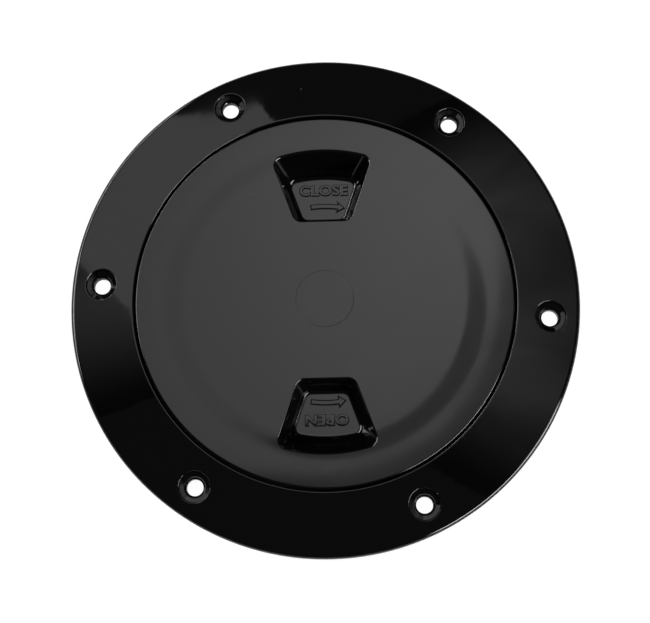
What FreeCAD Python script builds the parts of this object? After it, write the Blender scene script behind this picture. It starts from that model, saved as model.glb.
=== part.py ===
import FreeCAD, Part
import math
import os

Vector = FreeCAD.Vector
os.makedirs("parts", exist_ok=True)

# A screw-in deck inspection plate for a 4 inch access opening. Lengths are in millimetres.
# The deck surface is z = 0, the lid looks up along +Z, and the first screw hole lies on +X.

# Ring that is screwed to the deck
flange_radius = 73.5
flange_edge_height = 3.3
flange_slope = 10.0
flange_edge_round = 1.1
recess_lip_round = 0.4
passage_radius = 50.8
neck_wall = 3.5
neck_depth = 19.0
neck_end_round = 0.5
ledge_height = 2.4
ledge_width = 2.9

# Screw holes and their head recesses
screw_count = 6
screw_circle_offset = 0.6  # outwards from the middle of the flange's width
screw_hole_radius = 2.4
head_recess_radius = 4.45
head_seat_height = 3.3
head_cone_angle = 55.0

# Coarse moulded thread, shared by the ring and the lid
thread_lead = 5.0
thread_turns = 1.75
thread_height = 1.3
thread_flank_angle = 25.0
thread_flank_clearance = 0.35
thread_radial_clearance = 0.3
thread_top_below_ledge = 1.9
thread_root_overlap = 0.3
thread_end_bevel = 3.0

# Lid
lid_gap = 0.6
lid_proud = 0.1
lid_thickness = 2.8
lid_rim_thickness = 2.2
lid_edge_round = 0.6
collar_clearance = 0.15
collar_lift = 0.3
skirt_wall = 2.6
skirt_past_thread = 1.2

# Finger pockets in the lid, and the angle of the first one when the lid is closed
lid_stop_angle = 95.6
pocket_inner_edge = 23.2
pocket_inner_half_width = 7.6
pocket_side_angle = 19.4
pocket_outer_radius = 44.5
pocket_depth = 9.0
pocket_inner_draft = 2.7
pocket_side_draft = 2.3
pocket_outer_draft = 5.0
pocket_corner_round = 2.6
pocket_foot_bevel = 0.9
pocket_mouth_bevel = 0.3
pocket_wall = 2.3

# Rubber seal under the lid's rim
seal_inner_gap = 0.15
seal_outer_gap = 0.25

# Sizes that follow from those above
bore_radius = passage_radius + thread_height
recess_radius = bore_radius + ledge_width
neck_radius = bore_radius + neck_wall
screw_circle_radius = (recess_radius + flange_radius) / 2 + screw_circle_offset
flange_rise = math.tan(math.radians(flange_slope))
crown_height = flange_edge_height + (flange_radius - recess_radius) * flange_rise
lid_radius = recess_radius - lid_gap
lid_top = crown_height + lid_proud
lid_underside = lid_top - lid_thickness
rim_underside = lid_top - lid_rim_thickness
collar_radius = bore_radius - collar_clearance
collar_bottom = ledge_height + collar_lift
skirt_radius = passage_radius - thread_radial_clearance
skirt_inner_radius = skirt_radius - skirt_wall
flank_run = math.tan(math.radians(thread_flank_angle))
thread_contact_height = thread_height - thread_radial_clearance
thread_crest_width = thread_lead / 2 - thread_flank_clearance - thread_contact_height * flank_run
thread_root_width = thread_crest_width + 2 * thread_height * flank_run
thread_rise = thread_lead * thread_turns
ring_thread_start = ledge_height - thread_top_below_ledge - thread_rise
lid_thread_start = ring_thread_start - thread_lead / 2
skirt_bottom = lid_thread_start - thread_root_width / 2 - skirt_past_thread
pocket_floor = lid_top - pocket_depth
clear_of = 1.0  # how far a cutting shape reaches past the surface that it cuts
round_flat = 1.0  # the longest flat that a turned edge's round is made of


def eased_outline(corners):
    # points in the XZ plane through (radius, height, rounding) corners; a round runs in equal
    # flats from one tangent point to the other
    points = []
    for i, (radius, height, rounding) in enumerate(corners):
        here = Vector(radius, 0, height)
        if rounding == 0:
            points.append(here)
            continue
        last = corners[i - 1]
        following = corners[(i + 1) % len(corners)]
        back = (Vector(last[0], 0, last[1]) - here).normalize()
        onward = (Vector(following[0], 0, following[1]) - here).normalize()
        half_angle = back.getAngle(onward) / 2
        centre = here + (back + onward).normalize() * (rounding / math.sin(half_angle))
        start = here + back * (rounding / math.tan(half_angle)) - centre
        end = here + onward * (rounding / math.tan(half_angle)) - centre
        sweep = math.pi - 2 * half_angle
        flats = math.ceil(rounding * sweep / round_flat)
        for step in range(flats + 1):
            turned_by = sweep * step / flats
            spoke = start * math.sin(sweep - turned_by) + end * math.sin(turned_by)
            points.append(centre + spoke * (1 / math.sin(sweep)))
    return points


def turned(corners):
    # solid of revolution about the plate's axis
    points = eased_outline(corners)
    face = Part.Face(Part.makePolygon(points + points[:1]))
    return face.revolve(Vector(0, 0, 0), Vector(0, 0, 1), 360)


def rotated(shape, angle):
    copy = shape.copy()
    copy.rotate(Vector(0, 0, 0), Vector(0, 0, 1), angle)
    return copy


def thread_end_cutter(root_radius, crest_radius, side):
    # wedge that slopes a ridge's end from its crest down to its root; side is +1 or -1
    outward = math.copysign(1, crest_radius - root_radius)
    beyond = crest_radius + outward * clear_of
    run = thread_end_bevel * (beyond - root_radius) / (crest_radius - root_radius)
    low = -2 * thread_root_width
    corners = [
        Vector(root_radius, 0, low),
        Vector(beyond, 0, low),
        Vector(beyond, side * run, low),
        Vector(root_radius, 0, low),
    ]
    return Part.Face(Part.makePolygon(corners)).extrude(Vector(0, 0, -2 * low))


def thread_ridge(root_radius, crest_radius, start_height):
    # one right-hand ridge of trapezoid section; its root is sunk into the wall that carries it
    outward = math.copysign(1, crest_radius - root_radius)
    sunk_radius = root_radius - outward * thread_root_overlap
    sunk_half = thread_root_width / 2 + thread_root_overlap * flank_run
    crest_half = thread_crest_width / 2
    section = Part.makePolygon([
        Vector(sunk_radius, 0, -sunk_half),
        Vector(crest_radius, 0, -crest_half),
        Vector(crest_radius, 0, crest_half),
        Vector(sunk_radius, 0, sunk_half),
        Vector(sunk_radius, 0, -sunk_half),
    ])
    helix = Part.makeHelix(thread_lead, thread_rise, root_radius)
    ridge = Part.Wire(helix.Edges).makePipeShell([section], True, True)
    first_cutter = thread_end_cutter(root_radius, crest_radius, 1)
    last_cutter = rotated(thread_end_cutter(root_radius, crest_radius, -1), 360 * thread_turns)
    last_cutter.translate(Vector(0, 0, thread_rise))
    ridge = ridge.cut([first_cutter, last_cutter])
    ridge.translate(Vector(0, 0, start_height))
    return ridge


def screw_hole():
    # clearance hole, conical seat and the wall round the screw's head
    cone_run = head_recess_radius - screw_hole_radius
    cone_bottom = head_seat_height - cone_run / math.tan(math.radians(head_cone_angle))
    above = crown_height + clear_of
    hole = turned([
        (0, -clear_of, 0),
        (screw_hole_radius, -clear_of, 0),
        (screw_hole_radius, cone_bottom, 0),
        (head_recess_radius, head_seat_height, 0),
        (head_recess_radius, above, 0),
        (0, above, 0),
    ])
    hole.translate(Vector(screw_circle_radius, 0, 0))
    return hole


def make_mounting_ring():
    ring = turned([
        (bore_radius, -neck_depth, 0),
        (neck_radius, -neck_depth, neck_end_round),
        (neck_radius, 0, 0),
        (flange_radius, 0, 0),
        (flange_radius, flange_edge_height, flange_edge_round),
        (recess_radius, crown_height, recess_lip_round),
        (recess_radius, ledge_height, 0),
        (bore_radius, ledge_height, 0),
    ])
    ring = ring.fuse(thread_ridge(bore_radius, passage_radius, ring_thread_start))
    return ring.cut([rotated(screw_hole(), i * 360 / screw_count) for i in range(screw_count)])


def pocket_outline(height, grow):
    # pocket's outline at a height, moved out by grow: a straight edge near the lid's centre,
    # slanted sides, an arc round the lid's axis, and four rounded corners
    deep = (lid_top - height) / pocket_depth
    rounding = pocket_corner_round + grow
    inner_edge = pocket_inner_edge + pocket_inner_draft * deep - grow
    outer_radius = pocket_outer_radius - pocket_outer_draft * deep + grow
    side_angle = math.radians(pocket_side_angle)
    slope = math.tan(side_angle)
    side_out = Vector(math.cos(side_angle), -math.sin(side_angle), 0) * rounding
    # the corners' centres lie on a line beside the right-hand side, one rounding inside it
    side_move = (grow - pocket_side_draft * deep - rounding) / math.cos(side_angle)
    line_at_axis = pocket_inner_half_width - pocket_inner_edge * slope + side_move
    inner_y = inner_edge + rounding
    square = 1 + slope ** 2
    reach = math.sqrt(square * (outer_radius - rounding) ** 2 - line_at_axis ** 2)
    outer_y = (reach - slope * line_at_axis) / square
    inner_centre = Vector(line_at_axis + slope * inner_y, inner_y, 0)
    outer_centre = Vector(line_at_axis + slope * outer_y, outer_y, 0)
    inner_out = Vector(0, -rounding, 0)
    outer_out = outer_centre * (rounding / outer_centre.Length)
    right = [
        inner_centre + inner_out,
        inner_centre + (inner_out + side_out).normalize() * rounding,
        inner_centre + side_out,
        outer_centre + side_out,
        outer_centre + (side_out + outer_out).normalize() * rounding,
        outer_centre + outer_out,
    ]
    right = [point + Vector(0, 0, height) for point in right]
    left = [Vector(-point.x, point.y, height) for point in reversed(right)]
    return Part.Wire([
        Part.Arc(*right[:3]).toShape(),
        Part.LineSegment(right[2], right[3]).toShape(),
        Part.Arc(*right[3:]).toShape(),
        Part.Arc(right[5], Vector(0, outer_radius, height), left[0]).toShape(),
        Part.Arc(*left[:3]).toShape(),
        Part.LineSegment(left[2], left[3]).toShape(),
        Part.Arc(*left[3:]).toShape(),
        Part.LineSegment(left[5], right[0]).toShape(),
    ])


def pocket_block(stations):
    # drafted block through (height, grow) stations
    outlines = [pocket_outline(height, grow) for height, grow in stations]
    return Part.makeLoft(outlines, True, True)


def make_lid():
    lid = turned([
        (0, lid_underside, 0),
        (skirt_inner_radius, lid_underside, 0),
        (skirt_inner_radius, skirt_bottom, 0),
        (skirt_radius, skirt_bottom, 0),
        (skirt_radius, collar_bottom, 0),
        (collar_radius, collar_bottom, 0),
        (collar_radius, rim_underside, 0),
        (lid_radius, rim_underside, 0),
        (lid_radius, lid_top, lid_edge_round),
        (0, lid_top, 0),
    ])
    lid = lid.fuse(thread_ridge(skirt_radius, skirt_radius + thread_height, lid_thread_start))
    pocket = pocket_block([
        (lid_top + clear_of, pocket_mouth_bevel),
        (lid_top, pocket_mouth_bevel),
        (lid_top - pocket_mouth_bevel, 0),
        (pocket_floor + pocket_foot_bevel, 0),
        (pocket_floor, -pocket_foot_bevel),
    ])
    shell_bottom = pocket_floor - pocket_wall
    shell = pocket_block([
        ((lid_top + lid_underside) / 2, pocket_wall),
        (shell_bottom + pocket_foot_bevel, pocket_wall),
        (shell_bottom, pocket_wall - pocket_foot_bevel),
    ])
    for angle in (lid_stop_angle - 90, lid_stop_angle + 90):
        lid = lid.fuse(rotated(shell, angle))
        lid = lid.cut(rotated(pocket, angle))
    return lid


def make_lid_seal():
    # flat rubber ring, drawn as squeezed between the ring's ledge and the lid's rim
    inner_radius = collar_radius + seal_inner_gap
    outer_radius = recess_radius - seal_outer_gap
    return turned([
        (inner_radius, ledge_height, 0),
        (outer_radius, ledge_height, 0),
        (outer_radius, rim_underside, 0),
        (inner_radius, rim_underside, 0),
    ])


pieces = {
    "mounting_ring": make_mounting_ring(),
    "lid_seal": make_lid_seal(),
    "lid": make_lid(),
}
for name, solid in pieces.items():
    solid.exportStep("parts/" + name + ".step")
    print(name, "valid", solid.isValid(), "solids", len(solid.Solids), "cm3", round(solid.Volume / 1000, 2))
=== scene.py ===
import math
import bpy
from mathutils import Matrix, Vector


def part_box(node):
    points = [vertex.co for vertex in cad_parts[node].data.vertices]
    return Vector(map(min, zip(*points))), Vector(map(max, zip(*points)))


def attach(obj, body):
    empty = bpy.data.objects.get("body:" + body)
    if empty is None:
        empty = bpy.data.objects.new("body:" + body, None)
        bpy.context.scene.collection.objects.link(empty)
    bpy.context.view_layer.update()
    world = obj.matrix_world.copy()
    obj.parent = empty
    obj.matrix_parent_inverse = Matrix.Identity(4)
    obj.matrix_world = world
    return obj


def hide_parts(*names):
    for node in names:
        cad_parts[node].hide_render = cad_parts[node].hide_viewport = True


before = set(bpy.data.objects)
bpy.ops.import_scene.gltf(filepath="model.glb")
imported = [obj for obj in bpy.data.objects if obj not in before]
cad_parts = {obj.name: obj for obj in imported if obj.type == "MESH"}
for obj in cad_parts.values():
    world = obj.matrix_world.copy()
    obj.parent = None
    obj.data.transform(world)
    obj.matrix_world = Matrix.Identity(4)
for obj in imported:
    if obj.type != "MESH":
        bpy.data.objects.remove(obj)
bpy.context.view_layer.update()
mm = 0.001

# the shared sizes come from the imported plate
ringLow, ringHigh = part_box("mounting_ring")
lidLow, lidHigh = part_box("lid")
sealLow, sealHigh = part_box("lid_seal")
flangeRadius = ringHigh.x / mm
neckBottom = ringLow.z / mm
lidRadius = lidHigh.x / mm
lidTop = lidHigh.z / mm
skirtBottom = lidLow.z / mm
ledgeHeight = sealLow.z / mm
rimUnderside = sealHigh.z / mm

turningSteps = 576  # facets round the whole plate, in both turned pieces
roundSteps = 9  # facets in a quarter round
supportGap = 0.12  # the extra loop beside each round, so the flat next to it stays flat
smoothAngle = math.radians(11)
near = 0.01  # slack in the tests that pick by place
nearAngle = 1e-4


def roundedOutline(corners):
    # (radius, height, rounding) corners become points, with an arc and two holding points per round
    points = []
    for i, (radius, height, rounding) in enumerate(corners):
        here = Vector((radius, height))
        if rounding == 0:
            points.append(here)
            continue
        back = (Vector(corners[i - 1][:2]) - here).normalized()
        onward = (Vector(corners[(i + 1) % len(corners)][:2]) - here).normalized()
        half = back.angle(onward) / 2
        setback = rounding / math.tan(half)
        centre = here + (back + onward).normalized() * (rounding / math.sin(half))
        sweep = math.pi - 2 * half
        steps = max(2, math.ceil(sweep / (math.pi / 2) * roundSteps))
        start = here + back * setback - centre
        end = here + onward * setback - centre
        points.append(here + back * (setback + supportGap))
        for step in range(steps + 1):
            turned = sweep * step / steps
            spoke = start * math.sin(sweep - turned) + end * math.sin(turned)
            points.append(centre + spoke / math.sin(sweep))
        points.append(here + onward * (setback + supportGap))
    return points


def deselectAll():
    if bpy.context.mode != "OBJECT":
        bpy.ops.object.mode_set(mode="OBJECT")
    bpy.ops.object.select_all(action="DESELECT")


def makeActive(piece):
    deselectAll()
    piece.select_set(True)
    bpy.context.view_layer.objects.active = piece


def pick(piece, test, kind="VERT"):
    # selects the vertices, or the faces by their middle, that pass the test; ends in edit mode
    bpy.ops.object.mode_set(mode="EDIT")
    bpy.ops.mesh.select_mode(type=kind)
    bpy.ops.mesh.select_all(action="DESELECT")
    bpy.ops.object.mode_set(mode="OBJECT")
    if kind == "VERT":
        for vert in piece.data.vertices:
            vert.select = test(vert.co / mm)
    else:
        for face in piece.data.polygons:
            face.select = test(face.center / mm)
    bpy.ops.object.mode_set(mode="EDIT")


def placeSelected(piece, place):
    # moves each selected vertex to where place() says; stays in edit mode
    bpy.ops.object.mode_set(mode="OBJECT")
    for vert in piece.data.vertices:
        if vert.select:
            vert.co = Vector(place(vert.co / mm)) * mm
    bpy.ops.object.mode_set(mode="EDIT")


def startCircle(name, vertices, radius, height):
    deselectAll()
    bpy.ops.mesh.primitive_circle_add(vertices=vertices, radius=radius * mm, location=(0, 0, height * mm))
    piece = bpy.context.object
    piece.name = name
    piece.data.name = name
    bpy.ops.object.transform_apply(location=True)
    return piece


def drawUp(outline):
    # extrudes the selected loop through the outline's points, one loop at each
    for last, point in zip(outline, outline[1:]):
        rise = (point.y - last.y) * mm
        grow = point.x / last.x
        bpy.ops.mesh.extrude_edges_move(TRANSFORM_OT_translate={"value": (0, 0, rise)})
        bpy.ops.transform.resize(value=(grow, grow, 1), center_override=(0, 0, 0))


def closeUp(piece, merge=0.0005):
    makeActive(piece)
    bpy.ops.object.mode_set(mode="EDIT")
    bpy.ops.mesh.select_all(action="SELECT")
    bpy.ops.mesh.remove_doubles(threshold=merge * mm)
    bpy.ops.mesh.normals_make_consistent(inside=False)
    bpy.ops.object.mode_set(mode="OBJECT")
    bpy.ops.object.shade_smooth_by_angle(angle=smoothAngle)


def boolean(piece, tool, operation):
    makeActive(piece)
    modifier = piece.modifiers.new("cut", "BOOLEAN")
    modifier.operation = operation
    modifier.solver = "EXACT"
    modifier.object = tool
    bpy.ops.object.modifier_apply(modifier=modifier.name)
    bpy.data.objects.remove(tool)


# mounting ring
ringSettings = dict(
    slope=10.0,
    edgeHeight=3.3,
    edgeRound=1.4,
    footRound=0.35,
    recessRadius=55.0,
    lipRound=0.4,
    boreRadius=52.1,
    boreRound=0.3,
    neckRadius=55.6,
    neckTopRound=0.4,
    neckEndRound=0.5,
    holes=6,
    holeCircle=64.85,
    holePatch=6.0,
    holePatchSteps=16,
    recess=[
        (4.45, 0.28), (4.38, 3.34), (4.26, 3.2), (3.1, 2.92), (2.88, 2.5), (2.62, 2.4),
        (2.4, 2.2), (2.4, 0.2), (2.6, 0.0),
    ],
)


def flangeTop(radius):
    s = ringSettings
    return s["edgeHeight"] + (flangeRadius - radius) * math.tan(math.radians(s["slope"]))


def makeRing():
    s = ringSettings
    patch = s["holePatch"]
    steps = s["holePatchSteps"]
    patchRadii = [s["holeCircle"] + patch * (2 * i / steps - 1) for i in range(steps + 1)]
    corners = [
        (s["boreRadius"], neckBottom, s["boreRound"]),
        (s["neckRadius"], neckBottom, s["neckEndRound"]),
        (s["neckRadius"], 0, s["neckTopRound"]),
    ]
    corners += [(radius, 0, 0) for radius in patchRadii]
    corners += [(flangeRadius, 0, s["footRound"]), (flangeRadius, s["edgeHeight"], s["edgeRound"])]
    corners += [(radius, flangeTop(radius), 0) for radius in reversed(patchRadii)]
    corners += [
        (s["recessRadius"], flangeTop(s["recessRadius"]), s["lipRound"]),
        (s["recessRadius"], ledgeHeight, s["boreRound"]),
        (s["boreRadius"], ledgeHeight, s["boreRound"]),
    ]
    outline = roundedOutline(corners)
    outline.append(outline[0])
    ring = startCircle("ring_moulding", turningSteps, outline[0].x, outline[0].y)
    # one sixth of the ring is drawn, with one screw hole, and then copied round
    sixth = math.pi / s["holes"] + nearAngle
    pick(ring, lambda co: abs(math.atan2(co.y, co.x)) > sixth)
    bpy.ops.mesh.delete(type="VERT")
    bpy.ops.mesh.select_all(action="SELECT")
    drawUp(outline)
    patchAngle = math.pi / turningSteps * steps + nearAngle

    def inPatch(co):
        between = patchRadii[0] - near < co.xy.length < patchRadii[-1] + near
        return between and abs(math.atan2(co.y, co.x)) < patchAngle

    def onTop(co):
        return inPatch(co) and abs(co.z - flangeTop(co.xy.length)) < near

    def underneath(co):
        return inPatch(co) and abs(co.z) < near

    for test in (onTop, underneath):
        pick(ring, test, "FACE")
        bpy.ops.mesh.delete(type="FACE")
    middle = Vector((s["holeCircle"], 0))

    def circled(radius, height):
        # a vertex keeps its direction from the hole's middle and takes this radius and height
        def place(co):
            spoke = (co.xy - middle).normalized() * radius
            x, y = middle + spoke
            return (x, y, height(math.hypot(x, y)))
        return place

    pick(ring, onTop)
    wallRadius, mouthRound = s["recess"][0]
    bpy.ops.mesh.extrude_edges_move()
    placeSelected(ring, circled(wallRadius + mouthRound + supportGap, flangeTop))
    for step in range(roundSteps + 1):
        turn = math.pi / 2 * step / roundSteps
        out = mouthRound * (1 - math.sin(turn))
        drop = mouthRound * (1 - math.cos(turn))
        bpy.ops.mesh.extrude_edges_move()
        placeSelected(ring, circled(wallRadius + out, lambda r, drop=drop: flangeTop(r) - drop))
    for radius, height in s["recess"][1:]:
        bpy.ops.mesh.extrude_edges_move()
        placeSelected(ring, circled(radius, lambda r, height=height: height))
    pick(ring, underneath)
    bpy.ops.mesh.bridge_edge_loops()
    bpy.ops.mesh.select_all(action="SELECT")
    for turn in range(s["holes"] - 1):
        bpy.ops.mesh.duplicate()
        bpy.ops.transform.rotate(value=2 * math.pi / s["holes"], orient_axis="Z", center_override=(0, 0, 0))
    closeUp(ring)
    return ring


# lid
lidSettings = dict(
    edgeRound=0.55,
    footRound=0.3,
    rimDrop=0.15,
    stepRadius=43.4,
    stepWidth=7.0,
    stepLoops=18,
    rollStart=48.5,
    rollSlope=1.2,
    rollLoops=8,
    centreRadius=1.5,
    witnessRadius=8.3,
    witnessWidth=0.3,
    witnessDepth=0.016,
    flatLoops=(39.4, 34.0, 28.0, 22.0, 16.0, 12.0),
    thickness=2.8,
    collarRadius=51.95,
    collarBottom=2.7,
    skirtRadius=50.5,
    skirtInner=47.9,
    skirtTopRound=1.0,
    skirtEndRound=0.5,
    collarRound=0.2,
)
pocketSettings = dict(
    stopAngle=95.6,
    innerEdge=23.2,
    innerHalfWidth=7.95,
    sideAngle=19.4,
    outerRadius=44.5,
    depth=9.0,
    innerDraft=2.1,
    sideDraft=2.3,
    outerDraft=5.5,
    cornerRound=2.6,
    floorRound=0.9,
    mouthRound=0.5,
    mouthReach=72.0,  # degrees up the mouth's round, where it meets the lid's face
    mouthTurn=78.0,  # degrees up the same round that the cutter follows, a little past the face
    cutterRise=2.0,
    wall=2.3,
    shellDeep=0.25,
    shellRound=1.6,
    innerSteps=12,
    outerSteps=14,
    crownSteps=12,
    sideSteps=6,
)
pocketFloor = lidTop - pocketSettings["depth"]


def lidHeight(radius):
    # level in the middle, a soft step down, and a level band along the edge
    s = lidSettings
    share = (radius - s["stepRadius"]) / s["stepWidth"] + 0.5
    share = min(1.0, max(0.0, share))
    height = lidTop - s["rimDrop"] * (0.5 - 0.5 * math.cos(math.pi * share))
    past = max(0.0, radius - s["rollStart"])
    return height - past ** 2 / (lidRadius - s["rollStart"]) / 2 * math.tan(math.radians(s["rollSlope"]))


def arcPoints(centre, start, end, steps):
    # points on the shorter arc from start to end, both given from the centre
    points = []
    sweep = start.angle(end)
    for step in range(steps + 1):
        turned = sweep * step / steps
        spoke = start * math.sin(sweep - turned) + end * math.sin(turned)
        points.append(centre + spoke / math.sin(sweep))
    return points


def pocketOutline(deep, grow):
    # the points round the pocket, deep from 0 at the mouth to 1 at the floor, and wider by grow
    s = pocketSettings
    rounding = s["cornerRound"] + grow
    innerEdge = s["innerEdge"] + s["innerDraft"] * deep - grow
    outerRadius = s["outerRadius"] - s["outerDraft"] * deep + grow
    angle = math.radians(s["sideAngle"])
    slope = math.tan(angle)
    sideOut = Vector((math.cos(angle), -math.sin(angle))) * rounding
    lineStart = s["innerHalfWidth"] - s["innerEdge"] * slope
    lineStart += (grow - s["sideDraft"] * deep - rounding) / math.cos(angle)
    square = 1 + slope ** 2
    reach = math.sqrt(square * (outerRadius - rounding) ** 2 - lineStart ** 2)
    innerY = innerEdge + rounding
    outerY = (reach - slope * lineStart) / square
    innerCentre = Vector((lineStart + slope * innerY, innerY))
    outerCentre = Vector((lineStart + slope * outerY, outerY))
    right = arcPoints(innerCentre, Vector((0, -rounding)), sideOut, s["innerSteps"])
    outer = arcPoints(outerCentre, sideOut, outerCentre.normalized() * rounding, s["outerSteps"])
    sideSteps = s["sideSteps"]
    right += [right[-1].lerp(outer[0], step / sideSteps) for step in range(1, sideSteps)]
    right += outer
    crown = arcPoints(Vector((0, 0)), right[-1], Vector((0, outerRadius)), s["crownSteps"])
    right += crown[1:]
    left = [Vector((-point.x, point.y)) for point in reversed(right[:-1])]
    edge = [left[-1].lerp(right[0], step / sideSteps) for step in range(1, sideSteps)]
    return right + left + edge


def pocketBlock(name, stations, angle):
    # a closed block through (deep, grow, height) stations; height is a function of the radius
    loops = [pocketOutline(deep, grow) for deep, grow, height in stations]
    count = len(loops[0])
    block = startCircle(name, count, 1, 0)
    turn = Matrix.Rotation(math.radians(angle - 90), 2)
    for i, (loop, station) in enumerate(zip(loops, stations)):
        bpy.ops.object.mode_set(mode="EDIT")
        if i == 0:
            bpy.ops.mesh.select_all(action="SELECT")
            bpy.ops.mesh.edge_face_add()
        else:
            bpy.ops.mesh.extrude_region_move()
        bpy.ops.object.mode_set(mode="OBJECT")
        chosen = [vert for vert in block.data.vertices if vert.select]
        for vert, point in zip(chosen, loop):
            place = turn @ point
            vert.co = Vector((place.x, place.y, station[2](point.length))) * mm
    closeUp(block)
    return block


def floorStations(wall, rounding):
    # the rounded foot of the pocket, or of the shell round it when there is a wall
    depth = pocketSettings["depth"]
    stations = []
    for step in range(roundSteps + 1):
        turn = math.pi / 2 * step / roundSteps
        grow = wall - rounding * (1 - math.cos(turn))
        drop = depth + wall - rounding * (1 - math.sin(turn))
        stations.append((min(1, drop / depth), grow, lambda r, drop=drop: lidTop - drop))
    return stations


def pocketStations():
    s = pocketSettings
    depth = s["depth"]
    keep = math.sin(math.radians(s["mouthReach"]))
    mouthTurn = math.radians(s["mouthTurn"])
    mouthGrow = s["mouthRound"] * (1 - math.cos(mouthTurn))
    stations = [(0, mouthGrow, lambda r: lidTop + s["cutterRise"])]
    for step in range(roundSteps, -1, -1):
        turn = mouthTurn * step / roundSteps
        grow = s["mouthRound"] * (1 - math.cos(turn))
        drop = s["mouthRound"] * (keep - math.sin(turn))
        stations.append((drop / depth, grow, lambda r, drop=drop: lidHeight(r) - drop))
    stations += floorStations(0, s["floorRound"])
    stations.append((1, -s["floorRound"] - supportGap, lambda r: pocketFloor))
    return stations


def makeLid():
    s = lidSettings
    p = pocketSettings
    underside = lidTop - s["thickness"]
    groove = s["witnessWidth"] / 2
    stepStart = s["stepRadius"] + s["stepWidth"] / 2
    stepRadii = [stepStart - s["stepWidth"] * i / s["stepLoops"] for i in range(s["stepLoops"] + 1)]
    corners = [
        (s["centreRadius"], underside, 0),
        (s["skirtInner"], underside, s["skirtTopRound"]),
        (s["skirtInner"], skirtBottom, s["skirtEndRound"]),
        (s["skirtRadius"], skirtBottom, s["skirtEndRound"]),
        (s["skirtRadius"], s["collarBottom"], 0),
        (s["collarRadius"], s["collarBottom"], s["collarRound"]),
        (s["collarRadius"], rimUnderside, 0),
        (lidRadius, rimUnderside, s["footRound"]),
        (lidRadius, lidHeight(lidRadius), s["edgeRound"]),
    ]
    rollRun = (lidRadius - s["edgeRound"] - supportGap * 2 - s["rollStart"]) / s["rollLoops"]
    rollRadii = [s["rollStart"] + rollRun * i for i in range(s["rollLoops"], -1, -1)]
    corners += [(radius, lidHeight(radius), 0) for radius in rollRadii + stepRadii]
    corners += [(radius, lidTop, 0) for radius in s["flatLoops"]]
    corners += [
        (s["witnessRadius"] + groove + supportGap, lidTop, 0),
        (s["witnessRadius"] + groove, lidTop, 0),
        (s["witnessRadius"], lidTop - s["witnessDepth"], 0),
        (s["witnessRadius"] - groove, lidTop, 0),
        (s["witnessRadius"] - groove - supportGap, lidTop, 0),
        (s["centreRadius"], lidTop, 0),
    ]
    outline = roundedOutline(corners)
    lid = startCircle("lid_moulding", turningSteps, outline[0].x, outline[0].y)
    bpy.ops.object.mode_set(mode="EDIT")
    bpy.ops.mesh.select_all(action="SELECT")
    drawUp(outline)
    bpy.ops.mesh.edge_face_add()
    pick(lid, lambda co: co.xy.length < s["centreRadius"] + near and co.z < underside + near)
    bpy.ops.mesh.edge_face_add()
    closeUp(lid)
    shell = [(p["shellDeep"], p["wall"], lambda r: lidTop - s["thickness"] / 2)]
    shell += floorStations(p["wall"], p["shellRound"])
    for angle in (p["stopAngle"], p["stopAngle"] + 180):
        boolean(lid, pocketBlock("pocket_shell", shell, angle), "UNION")
        boolean(lid, pocketBlock("pocket_cutter", pocketStations(), angle), "DIFFERENCE")
    makeActive(lid)
    bpy.ops.object.shade_smooth_by_angle(angle=smoothAngle)
    return lid


# raised words and arrows on the pocket floors
letteringSettings = dict(
    height=0.42,
    sink=0.1,
    edge=0.33,
    edgeSteps=3,
    curveSteps=8,
    fontSize=5.0,
    fontWeight=0.02,
    fontDepth=0.15,
    spacing=1.06,
    capHeight=3.5,
    words=(("CLOSE", 14.6, (0.25, 34.9)), ("OPEN", 12.8, (0.15, 33.8))),
    arrowRadius=(30.0, 28.7),
    arrowTail=-4.3,
    arrowNeck=3.7,
    arrowTip=6.1,
    shaftHalf=0.8,
    barbHalf=1.95,
    barbSweep=(0.45, 0.0),
    arrowCentre=0.5,
    shaftSteps=8,
    arrowEdge=((0.4, 0.65), (0.6, 0.35)),  # inset and rise of each step, as shares of the edge
)


def raiseWord(word, width, centre, angle):
    s = letteringSettings
    deselectAll()
    bpy.ops.object.text_add(location=(0, 0, 0))
    raised = bpy.context.object
    raised.data.body = word
    raised.data.size = s["fontSize"] * mm
    raised.data.offset = s["fontWeight"] * mm
    raised.data.space_character = s["spacing"]
    raised.data.extrude = s["fontDepth"] * mm
    raised.data.bevel_depth = s["edge"] * mm
    raised.data.bevel_resolution = s["edgeSteps"]
    raised.data.resolution_u = s["curveSteps"]
    bpy.ops.object.convert(target="MESH")
    raised = bpy.context.object
    raised.name = "word_" + word.lower()
    corners = [vert.co for vert in raised.data.vertices]
    low = Vector(min(co[i] for co in corners) for i in range(3))
    high = Vector(max(co[i] for co in corners) for i in range(3))
    size = high - low
    thick = s["height"] + s["sink"]
    scale = (width * mm / size.x, s["capHeight"] * mm / size.y, thick * mm / size.z)
    raised.data.transform(Matrix.Translation(-(low + high) / 2))
    raised.data.transform(Matrix.Diagonal((*scale, 1)))
    middle = pocketFloor + (s["height"] - s["sink"]) / 2
    raised.data.transform(Matrix.Translation(Vector((*centre, middle)) * mm))
    raised.data.transform(Matrix.Rotation(math.radians(angle - 90), 4, "Z"))
    closeUp(raised)
    return raised


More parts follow.
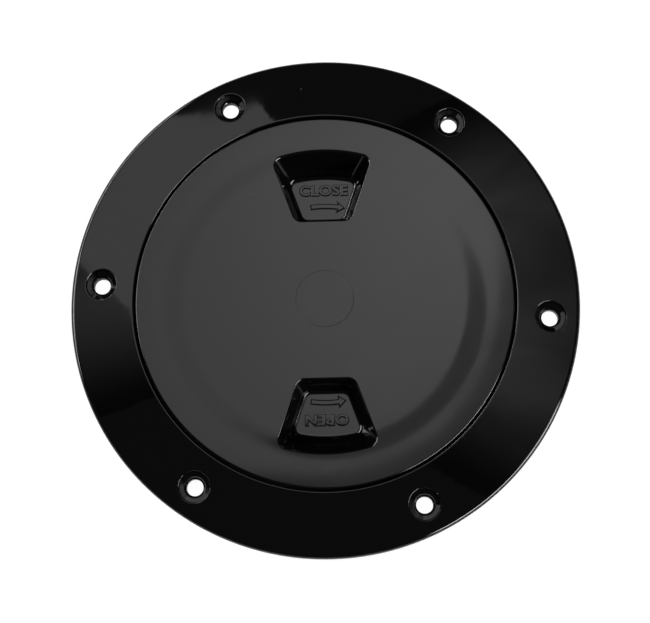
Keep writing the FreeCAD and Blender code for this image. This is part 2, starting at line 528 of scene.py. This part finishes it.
def raiseArrow(name, radius, sweep, way, angle):
    # the arrow follows the lid's turning circle; way is 1 for clockwise
    s = letteringSettings
    neck = s["arrowNeck"]
    steps = s["shaftSteps"]
    shaft = [s["arrowTail"] + (neck - s["arrowTail"]) * i / steps for i in range(steps + 1)]
    points = [(along, s["shaftHalf"]) for along in shaft]
    points += [(neck - sweep, s["barbHalf"]), (s["arrowTip"], 0), (neck - sweep, -s["barbHalf"])]
    points += [(along, -s["shaftHalf"]) for along in reversed(shaft)]
    arrow = startCircle(name, len(points), 1, 0)
    bpy.ops.object.mode_set(mode="EDIT")
    bpy.ops.mesh.select_all(action="SELECT")
    bpy.ops.mesh.edge_face_add()
    bpy.ops.object.mode_set(mode="OBJECT")
    for vert, (along, out) in zip(arrow.data.vertices, points):
        turn = math.radians(angle) - way * (along + way * s["arrowCentre"]) / radius
        spoke = Vector((math.cos(turn), math.sin(turn))) * (radius + out)
        vert.co = Vector((*spoke, pocketFloor - s["sink"])) * mm
    bpy.ops.object.mode_set(mode="EDIT")
    rise = s["height"] + s["sink"] - s["edge"]
    bpy.ops.mesh.extrude_region_move(TRANSFORM_OT_translate={"value": (0, 0, rise * mm)})
    for inset, climb in s["arrowEdge"]:
        bpy.ops.mesh.inset(thickness=s["edge"] * inset * mm)
        bpy.ops.transform.translate(value=(0, 0, s["edge"] * climb * mm))
    closeUp(arrow)
    return arrow


# threads
threadSettings = dict(
    lead=5.0,
    turns=1.75,
    height=1.3,
    crestWidth=1.684,
    rootWidth=2.896,
    sink=0.3,
    crestRound=0.25,
    crestShoulder=(0.3, 0.2),  # the middle of the crest's round, as shares of it: down and across
    endRun=3.0,
    stepsPerTurn=144,
    ringStart=-8.25,
    lidStart=-10.75,
)


def threadRidge(name, rootRadius, outward, start):
    s = threadSettings
    crest = rootRadius + outward * s["height"]
    sunk = rootRadius - outward * s["sink"]
    rounding = s["crestRound"]
    down, across = s["crestShoulder"]
    crestHalf = s["crestWidth"] / 2
    flank = (s["rootWidth"] / 2 - crestHalf) / s["height"]
    half = [
        (sunk, s["rootWidth"] / 2 + s["sink"] * flank),
        (crest - outward * rounding, crestHalf + rounding * flank),
        (crest - outward * rounding * down, crestHalf - rounding * across),
        (crest, crestHalf - rounding),
    ]
    section = [(radius, -height) for radius, height in half] + list(reversed(half))
    ridge = startCircle(name, len(section), 1, 0)
    for vert, (radius, height) in zip(ridge.data.vertices, section):
        vert.co = Vector((radius, 0, start + height)) * mm
    screw = ridge.modifiers.new("thread", "SCREW")
    screw.angle = 2 * math.pi * s["turns"]
    screw.screw_offset = s["lead"] * s["turns"] * mm
    screw.steps = round(s["stepsPerTurn"] * s["turns"])
    screw.render_steps = screw.steps
    screw.use_merge_vertices = False
    bpy.ops.object.modifier_apply(modifier=screw.name)
    steps = len(ridge.data.vertices) // len(section)
    stepLength = 2 * math.pi * rootRadius / s["stepsPerTurn"]
    for i, vert in enumerate(ridge.data.vertices):
        step = i // len(section)
        toEnd = min(step, steps - 1 - step) * stepLength
        share = min(1.0, toEnd / s["endRun"])
        flatRadius = vert.co.xy.length / mm
        eased = sunk + (flatRadius - sunk) * share
        vert.co.xy *= eased / flatRadius
    for step in (0, steps - 1):
        makeActive(ridge)
        first = step * len(section)
        for vert in ridge.data.vertices:
            vert.select = first <= vert.index < first + len(section)
        bpy.ops.object.mode_set(mode="EDIT")
        bpy.ops.mesh.edge_face_add()
        bpy.ops.object.mode_set(mode="OBJECT")
    closeUp(ridge, 0.0)
    return ridge


def joinTo(piece, additions):
    makeActive(piece)
    for addition in additions:
        addition.select_set(True)
    bpy.ops.object.join()


ring = makeRing()
joinTo(ring, [threadRidge("ring_thread", ringSettings["boreRadius"], -1, threadSettings["ringStart"])])
print("ring", len(ring.data.polygons))

lid = makeLid()
additions = [threadRidge("lid_thread", lidSettings["skirtRadius"], 1, threadSettings["lidStart"])]
for i, (word, width, centre) in enumerate(letteringSettings["words"]):
    angle = pocketSettings["stopAngle"] + 180 * i
    additions.append(raiseWord(word, width, centre, angle))
    radius = letteringSettings["arrowRadius"][i]
    sweep = letteringSettings["barbSweep"][i]
    additions.append(raiseArrow("arrow_" + word.lower(), radius, sweep, 1 - 2 * i, angle))
joinTo(lid, additions)
print("lid", len(lid.data.polygons))


# seal
sealSettings = dict(inner=52.1, outer=54.75, lidGap=0.02, roundShare=0.42, turningSteps=288)


def makeSeal():
    s = sealSettings
    top = rimUnderside - s["lidGap"]
    rounding = (top - ledgeHeight) * s["roundShare"]
    corners = [
        (s["inner"], ledgeHeight, rounding),
        (s["outer"], ledgeHeight, rounding),
        (s["outer"], top, rounding),
        (s["inner"], top, rounding),
    ]
    outline = roundedOutline(corners)
    outline.append(outline[0])
    piece = startCircle("seal_ring", s["turningSteps"], outline[0].x, outline[0].y)
    bpy.ops.object.mode_set(mode="EDIT")
    bpy.ops.mesh.select_all(action="SELECT")
    drawUp(outline)
    closeUp(piece)
    return piece


seal = makeSeal()
print("seal", len(seal.data.polygons))


# surface marks, shared by the materials; each range is where a mask goes from 0 to 1
markSettings = dict(
    scratchRuns=((17, 21.0), (74, 27.0), (128, 24.0)),  # degrees, and the scale of the scratched patches
    scratchStretch=(60, 2200, 300),
    scratchRange=(0.7, 0.76),
    patchRange=(0.5, 0.65),
    smearTurn=40,
    smearStretch=(1, 2.6, 1),
    smearScale=26.0,
    smearDetail=3.0,
    smearDistortion=1.2,
    smearRange=(0.35, 0.7),
    speckScale=420.0,
    speckReach=0.03,
    speckSpread=0.06,
    edgeRange=(0.52, 0.6),
    grainScale=900.0,
)


def newGroup(name, inputs, outputs):
    group = bpy.data.node_groups.new(name, "ShaderNodeTree")
    for label, kind, value in inputs:
        socket = group.interface.new_socket(name=label, in_out="INPUT", socket_type=kind)
        socket.default_value = value
    for label, kind in outputs:
        group.interface.new_socket(name=label, in_out="OUTPUT", socket_type=kind)
    return group, group.nodes.new("NodeGroupInput"), group.nodes.new("NodeGroupOutput")


def mathNode(tree, operation, *values):
    node = tree.nodes.new("ShaderNodeMath")
    node.operation = operation
    for socket, value in zip(node.inputs, values):
        if isinstance(value, bpy.types.NodeSocket):
            tree.links.new(value, socket)
        else:
            socket.default_value = value
    return node.outputs[0]


def mapRange(tree, value, fromLow, fromHigh, toLow=0.0, toHigh=1.0, kind="SMOOTHSTEP"):
    node = tree.nodes.new("ShaderNodeMapRange")
    node.interpolation_type = kind
    for socket, given in zip(node.inputs, (value, fromLow, fromHigh, toLow, toHigh)):
        if isinstance(given, bpy.types.NodeSocket):
            tree.links.new(given, socket)
        else:
            socket.default_value = given
    return node.outputs["Result"]


def noise(tree, vector, scale, detail=2.0, distortion=0.0):
    node = tree.nodes.new("ShaderNodeTexNoise")
    tree.links.new(vector, node.inputs["Vector"])
    node.inputs["Scale"].default_value = scale
    node.inputs["Detail"].default_value = detail
    node.inputs["Distortion"].default_value = distortion
    return node.outputs["Fac"]


def stretched(tree, vector, turn, scale):
    node = tree.nodes.new("ShaderNodeMapping")
    node.vector_type = "TEXTURE"
    tree.links.new(vector, node.inputs["Vector"])
    node.inputs["Rotation"].default_value = (0, 0, math.radians(turn))
    node.inputs["Scale"].default_value = [1 / factor for factor in scale]
    return node.outputs["Vector"]


def makeHandlingGroup():
    # fine scratches, wiping smears, dust specks, rubbed edges and grain, each a mask from 0 to 1
    s = markSettings
    inputs = [
        ("Vector", "NodeSocketVector", (0, 0, 0)),
        ("Scratch Cover", "NodeSocketFloat", 0.5),
        ("Speck Cover", "NodeSocketFloat", 0.06),
    ]
    outputs = [(label, "NodeSocketFloat") for label in ("Scratches", "Smears", "Specks", "Edges", "Grain")]
    tree, given, result = newGroup("handling_marks", inputs, outputs)
    vector = given.outputs["Vector"]
    lines = []
    for turn, patch in s["scratchRuns"]:
        fine = noise(tree, stretched(tree, vector, turn, s["scratchStretch"]), 1.0, 1.0)
        where = noise(tree, vector, patch, 1.0)
        line = mapRange(tree, fine, *s["scratchRange"])
        lines.append(mathNode(tree, "MULTIPLY", line, mapRange(tree, where, *s["patchRange"])))
    allLines = mathNode(tree, "MAXIMUM", mathNode(tree, "MAXIMUM", lines[0], lines[1]), lines[2])
    kept = mathNode(tree, "MULTIPLY", allLines, given.outputs["Scratch Cover"])
    tree.links.new(kept, result.inputs["Scratches"])
    across = stretched(tree, vector, s["smearTurn"], s["smearStretch"])
    wiped = noise(tree, across, s["smearScale"], s["smearDetail"], s["smearDistortion"])
    tree.links.new(mapRange(tree, wiped, *s["smearRange"]), result.inputs["Smears"])
    cells = tree.nodes.new("ShaderNodeTexVoronoi")
    tree.links.new(vector, cells.inputs["Vector"])
    cells.inputs["Scale"].default_value = s["speckScale"]
    pickOf = tree.nodes.new("ShaderNodeSeparateColor")
    tree.links.new(cells.outputs["Color"], pickOf.inputs["Color"])
    chosen = mathNode(tree, "LESS_THAN", pickOf.outputs["Red"], given.outputs["Speck Cover"])
    reach = mathNode(tree, "MULTIPLY_ADD", pickOf.outputs["Green"], s["speckSpread"], s["speckReach"])
    dot = mathNode(tree, "LESS_THAN", cells.outputs["Distance"], reach)
    tree.links.new(mathNode(tree, "MULTIPLY", chosen, dot), result.inputs["Specks"])
    shape = tree.nodes.new("ShaderNodeNewGeometry")
    rubbed = mapRange(tree, shape.outputs["Pointiness"], *s["edgeRange"])
    tree.links.new(rubbed, result.inputs["Edges"])
    tree.links.new(noise(tree, vector, s["grainScale"]), result.inputs["Grain"])
    return tree


handlingMarks = makeHandlingGroup()


def blackMaterial(name, s):
    material = bpy.data.materials.new(name)
    material.use_nodes = True
    tree = material.node_tree
    shader = tree.nodes["Principled BSDF"]
    shader.inputs["IOR"].default_value = s["ior"]
    place = tree.nodes.new("ShaderNodeTexCoord")
    marks = tree.nodes.new("ShaderNodeGroup")
    marks.node_tree = handlingMarks
    marks.inputs["Scratch Cover"].default_value = s["scratches"]
    marks.inputs["Speck Cover"].default_value = s["specks"]
    tree.links.new(place.outputs["Object"], marks.inputs["Vector"])
    worn = tree.nodes.new("ShaderNodeMix")
    worn.data_type = "RGBA"
    worn.inputs["A"].default_value = (*s["color"], 1)
    worn.inputs["B"].default_value = (*s["wornColor"], 1)
    wear = mathNode(tree, "MULTIPLY", marks.outputs["Edges"], s["edgeWear"])
    tree.links.new(wear, worn.inputs["Factor"])
    dusty = tree.nodes.new("ShaderNodeMix")
    dusty.data_type = "RGBA"
    dusty.inputs["B"].default_value = (*s["dustColor"], 1)
    tree.links.new(marks.outputs["Specks"], dusty.inputs["Factor"])
    tree.links.new(worn.outputs["Result"], dusty.inputs["A"])
    tree.links.new(dusty.outputs["Result"], shader.inputs["Base Color"])
    rough = mathNode(tree, "MULTIPLY_ADD", marks.outputs["Smears"], s["smearRough"], s["roughness"])
    rough = mathNode(tree, "MULTIPLY_ADD", marks.outputs["Scratches"], s["scratchRough"], rough)
    rough = mathNode(tree, "MULTIPLY_ADD", marks.outputs["Specks"], s["speckRough"], rough)
    tree.links.new(rough, shader.inputs["Roughness"])
    height = mathNode(tree, "MULTIPLY", marks.outputs["Grain"], s["grain"])
    height = mathNode(tree, "MULTIPLY_ADD", marks.outputs["Smears"], s["waves"], height)
    height = mathNode(tree, "MULTIPLY_ADD", marks.outputs["Scratches"], -s["scratchDepth"], height)
    bump = tree.nodes.new("ShaderNodeBump")
    bump.inputs["Strength"].default_value = 1.0
    bump.inputs["Distance"].default_value = 1 * mm
    tree.links.new(height, bump.inputs["Height"])
    tree.links.new(bump.outputs["Normal"], shader.inputs["Normal"])
    return material


# scratchDepth, grain and waves are heights in mm, where the mask is 1
blackPlastic = dict(
    color=(0.0016, 0.0016, 0.0018), wornColor=(0.02, 0.02, 0.021), dustColor=(0.12, 0.12, 0.12), ior=1.5,
    specks=0.012, speckRough=0.6, edgeWear=0.5,
)
ringPlastic = dict(
    blackPlastic, roughness=0.025, smearRough=0.02, scratchRough=0.12, scratches=0.5, scratchDepth=0.0003,
    grain=0.0, waves=0.004,
)
lidPlastic = dict(
    blackPlastic, roughness=0.09, smearRough=0.03, scratchRough=0.05, scratches=0.3, scratchDepth=0.00015,
    grain=0.0002, waves=0.003,
)
sealRubber = dict(
    color=(0.012, 0.012, 0.012), wornColor=(0.03, 0.03, 0.03), dustColor=(0.2, 0.2, 0.2), ior=1.45,
    roughness=0.55, smearRough=0.15, scratchRough=0.1, scratches=0.3, scratchDepth=0.001,
    specks=0.03, speckRough=0.6, edgeWear=0.4, grain=0.01, waves=0.0,
)
for piece, settings, body, slotName, node in (
    (ring, ringPlastic, "ring", "ring_plastic", "mounting_ring"),
    (lid, lidPlastic, "lid", "lid_plastic", "lid"),
    (seal, sealRubber, "seal", "seal_rubber", "lid_seal"),
):
    piece.data.materials.clear()
    piece.data.materials.append(blackMaterial(slotName, settings))
    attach(piece, body)
    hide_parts(node)
print("materials")

# camera, in the directions of the photograph: X right, Y up, first screw hole a little below X
cameraSettings = dict(
    lens=85.82,
    sensor=36.0,
    tilt=-0.2156,
    swing=-0.021,
    firstHole=-0.077,
    shiftX=0.0225,
    shiftY=2.2324,
    distance=450.04,
    clipStart=0.01,
)


def addCamera():
    s = cameraSettings
    turn = Matrix.Rotation(s["tilt"], 3, "X") @ Matrix.Rotation(s["swing"], 3, "Y")
    turn = turn @ Matrix.Rotation(s["firstHole"], 3, "Z")
    back = turn.transposed()
    place = back @ Vector((-s["shiftX"], -s["shiftY"], s["distance"])) * mm
    bpy.ops.object.camera_add(location=place, rotation=back.to_euler())
    camera = bpy.context.object
    camera.name = "camera"
    camera.data.lens = s["lens"]
    camera.data.sensor_width = s["sensor"]
    camera.data.sensor_fit = "HORIZONTAL"
    camera.data.clip_start = s["clipStart"]
    bpy.context.scene.camera = camera


addCamera()

# floor
floorSettings = dict(size=8.0, color=(0.8, 0.8, 0.8), roughness=0.9, whiteShare=0.75, white=1.2)


def addFloor():
    s = floorSettings
    deselectAll()
    bpy.ops.mesh.primitive_plane_add(size=s["size"], location=(0, 0, neckBottom * mm))
    floor = bpy.context.object
    floor.name = "floor"
    bpy.ops.object.transform_apply(location=True)
    material = bpy.data.materials.new("floor_pale")
    material.use_nodes = True
    tree = material.node_tree
    shader = tree.nodes["Principled BSDF"]
    shader.inputs["Base Color"].default_value = (*s["color"], 1)
    shader.inputs["Roughness"].default_value = s["roughness"]
    white = tree.nodes.new("ShaderNodeEmission")
    white.inputs["Strength"].default_value = s["white"]
    path = tree.nodes.new("ShaderNodeLightPath")
    mixed = tree.nodes.new("ShaderNodeMixShader")
    share = mathNode(tree, "MULTIPLY", path.outputs["Is Camera Ray"], s["whiteShare"])
    tree.links.new(share, mixed.inputs["Fac"])
    tree.links.new(shader.outputs["BSDF"], mixed.inputs[1])
    tree.links.new(white.outputs["Emission"], mixed.inputs[2])
    tree.links.new(mixed.outputs["Shader"], tree.nodes["Material Output"].inputs["Surface"])
    floor.data.materials.append(material)


addFloor()

# soft panels round the plate. Overhead ones lie level and are placed by slope: metres sideways per metre of
# height, to the right and to the top of the picture. Side ones face the plate; azimuth 0 is the right.
# Each fade runs from the first place, where the light is out, to the second, where it is full.
softSides = dict(left=(-1.0, -0.8), right=(1.0, 0.8), top=(1.0, 0.6), bottom=(-1.0, -0.6))
panels = dict(
    octagon=dict(slope=(-0.22, 0.42), height=3.0, turn=22, size=(0.388, 0.388), corners=8, radiance=1.05,
                 glow=0.75, glowAt=(0.7, -0.55), glowReach=0.9),
    rightFill=dict(slope=(0.36, 0.3), height=3.1, turn=0, size=(0.4, 0.5), radiance=0.95,
                   patchDepth=0.45, patchScale=1.9, patchDetail=2.0, patchDistortion=0.6,
                   patchRange=(0.35, 0.65),
                   fades=dict(right=(1.0, -0.2), top=(1.0, 0.3), bottom=(-1.0, -0.4))),
    leftSpill=dict(slope=(-0.56, 0.24), height=3.1, turn=0, size=(0.16, 0.26), radiance=0.45,
                   fades=dict(left=(-1.0, -0.2), right=(1.0, 0.2), top=(1.0, 0.0), bottom=(-1.0, 0.2))),
    leftStrip=dict(azimuth=151, elevation=28, distance=1.5, size=(0.62, 0.06), radiance=20.0,
                   fades=softSides),
    rightStrip=dict(azimuth=-37, elevation=24, distance=1.5, size=(0.45, 0.1), radiance=24.0,
                    fades=softSides),
    leftTall=dict(azimuth=163, elevation=40, distance=1.6, size=(0.14, 0.2), radiance=3.0,
                  fades=softSides),
    rightTall=dict(azimuth=-19, elevation=40, distance=1.6, size=(0.14, 0.2), radiance=3.0,
                   fades=softSides),
)


def addPanel(name, s):
    # sizes are half widths, as shares of the distance or height
    turned = -cameraSettings["firstHole"]
    if "slope" in s:
        reach = s["height"]
        place = Matrix.Rotation(turned, 3, "Z") @ Vector((*s["slope"], 1)) * reach
        turn = Matrix.Rotation(math.radians(s["turn"]) + turned, 3, "Z").to_euler()
    else:
        reach = s["distance"]
        azimuth = math.radians(s["azimuth"]) + turned
        elevation = math.radians(s["elevation"])
        level = reach * math.cos(elevation)
        place = Vector((level * math.cos(azimuth), level * math.sin(azimuth), reach * math.sin(elevation)))
        turn = place.to_track_quat("Z", "Y").to_euler()
    corners = s.get("corners", 4)
    half = [share * reach for share in s["size"]]
    deselectAll()
    tip = 1 / math.cos(math.pi / corners)
    bpy.ops.mesh.primitive_circle_add(vertices=corners, radius=tip, fill_type="NGON")
    panel = bpy.context.object
    panel.name = name
    panel.rotation_euler = (0, 0, math.pi / corners)
    bpy.ops.object.transform_apply()
    panel.scale = (*half, 1)
    panel.rotation_euler = turn
    panel.location = place
    bpy.ops.object.transform_apply()
    material = bpy.data.materials.new(name)
    material.use_nodes = True
    tree = material.node_tree
    tree.nodes.clear()
    where = tree.nodes.new("ShaderNodeTexCoord")
    local = tree.nodes.new("ShaderNodeMapping")
    local.vector_type = "TEXTURE"
    local.inputs["Location"].default_value = place
    local.inputs["Rotation"].default_value = turn
    local.inputs["Scale"].default_value = (*half, 1)
    tree.links.new(where.outputs["Object"], local.inputs["Vector"])
    split = tree.nodes.new("ShaderNodeSeparateXYZ")
    tree.links.new(local.outputs["Vector"], split.inputs["Vector"])
    strength = s["radiance"]
    if "glow" in s:
        spot = tree.nodes.new("ShaderNodeVectorMath")
        spot.operation = "DISTANCE"
        tree.links.new(local.outputs["Vector"], spot.inputs[0])
        spot.inputs[1].default_value = (*s["glowAt"], 0)
        bright = strength + s["glow"]
        strength = mapRange(tree, spot.outputs["Value"], s["glowReach"], 0.0, strength, bright)
    for side, (end, start) in s.get("fades", {}).items():
        across = split.outputs["X" if side in ("left", "right") else "Y"]
        strength = mathNode(tree, "MULTIPLY", strength, mapRange(tree, across, end, start))
    if "patchDepth" in s:
        vector = local.outputs["Vector"]
        patch = noise(tree, vector, s["patchScale"], s["patchDetail"], s["patchDistortion"])
        dimmed = mapRange(tree, patch, *s["patchRange"], 1 - s["patchDepth"], 1.0)
        strength = mathNode(tree, "MULTIPLY", strength, dimmed)
    glow = tree.nodes.new("ShaderNodeEmission")
    tree.links.new(strength, glow.inputs["Strength"])
    output = tree.nodes.new("ShaderNodeOutputMaterial")
    tree.links.new(glow.outputs["Emission"], output.inputs["Surface"])
    panel.data.materials.append(material)
    panel.visible_camera = False
    panel.visible_shadow = False


for name, panelSettings in panels.items():
    addPanel(name, panelSettings)

worldSettings = dict(studio=0.05, white=1.0)
scene = bpy.context.scene
world = bpy.data.worlds.new("studio")
scene.world = world
world.use_nodes = True
background = world.node_tree.nodes["Background"]
background.inputs["Color"].default_value = (1, 1, 1, 1)
path = world.node_tree.nodes.new("ShaderNodeLightPath")
toCamera = path.outputs["Is Camera Ray"]
levels = (worldSettings["studio"], worldSettings["white"])
seen = mapRange(world.node_tree, toCamera, 0, 1, *levels, "LINEAR")
world.node_tree.links.new(seen, background.inputs["Strength"])
scene.view_settings.view_transform = "Standard"
print("studio")
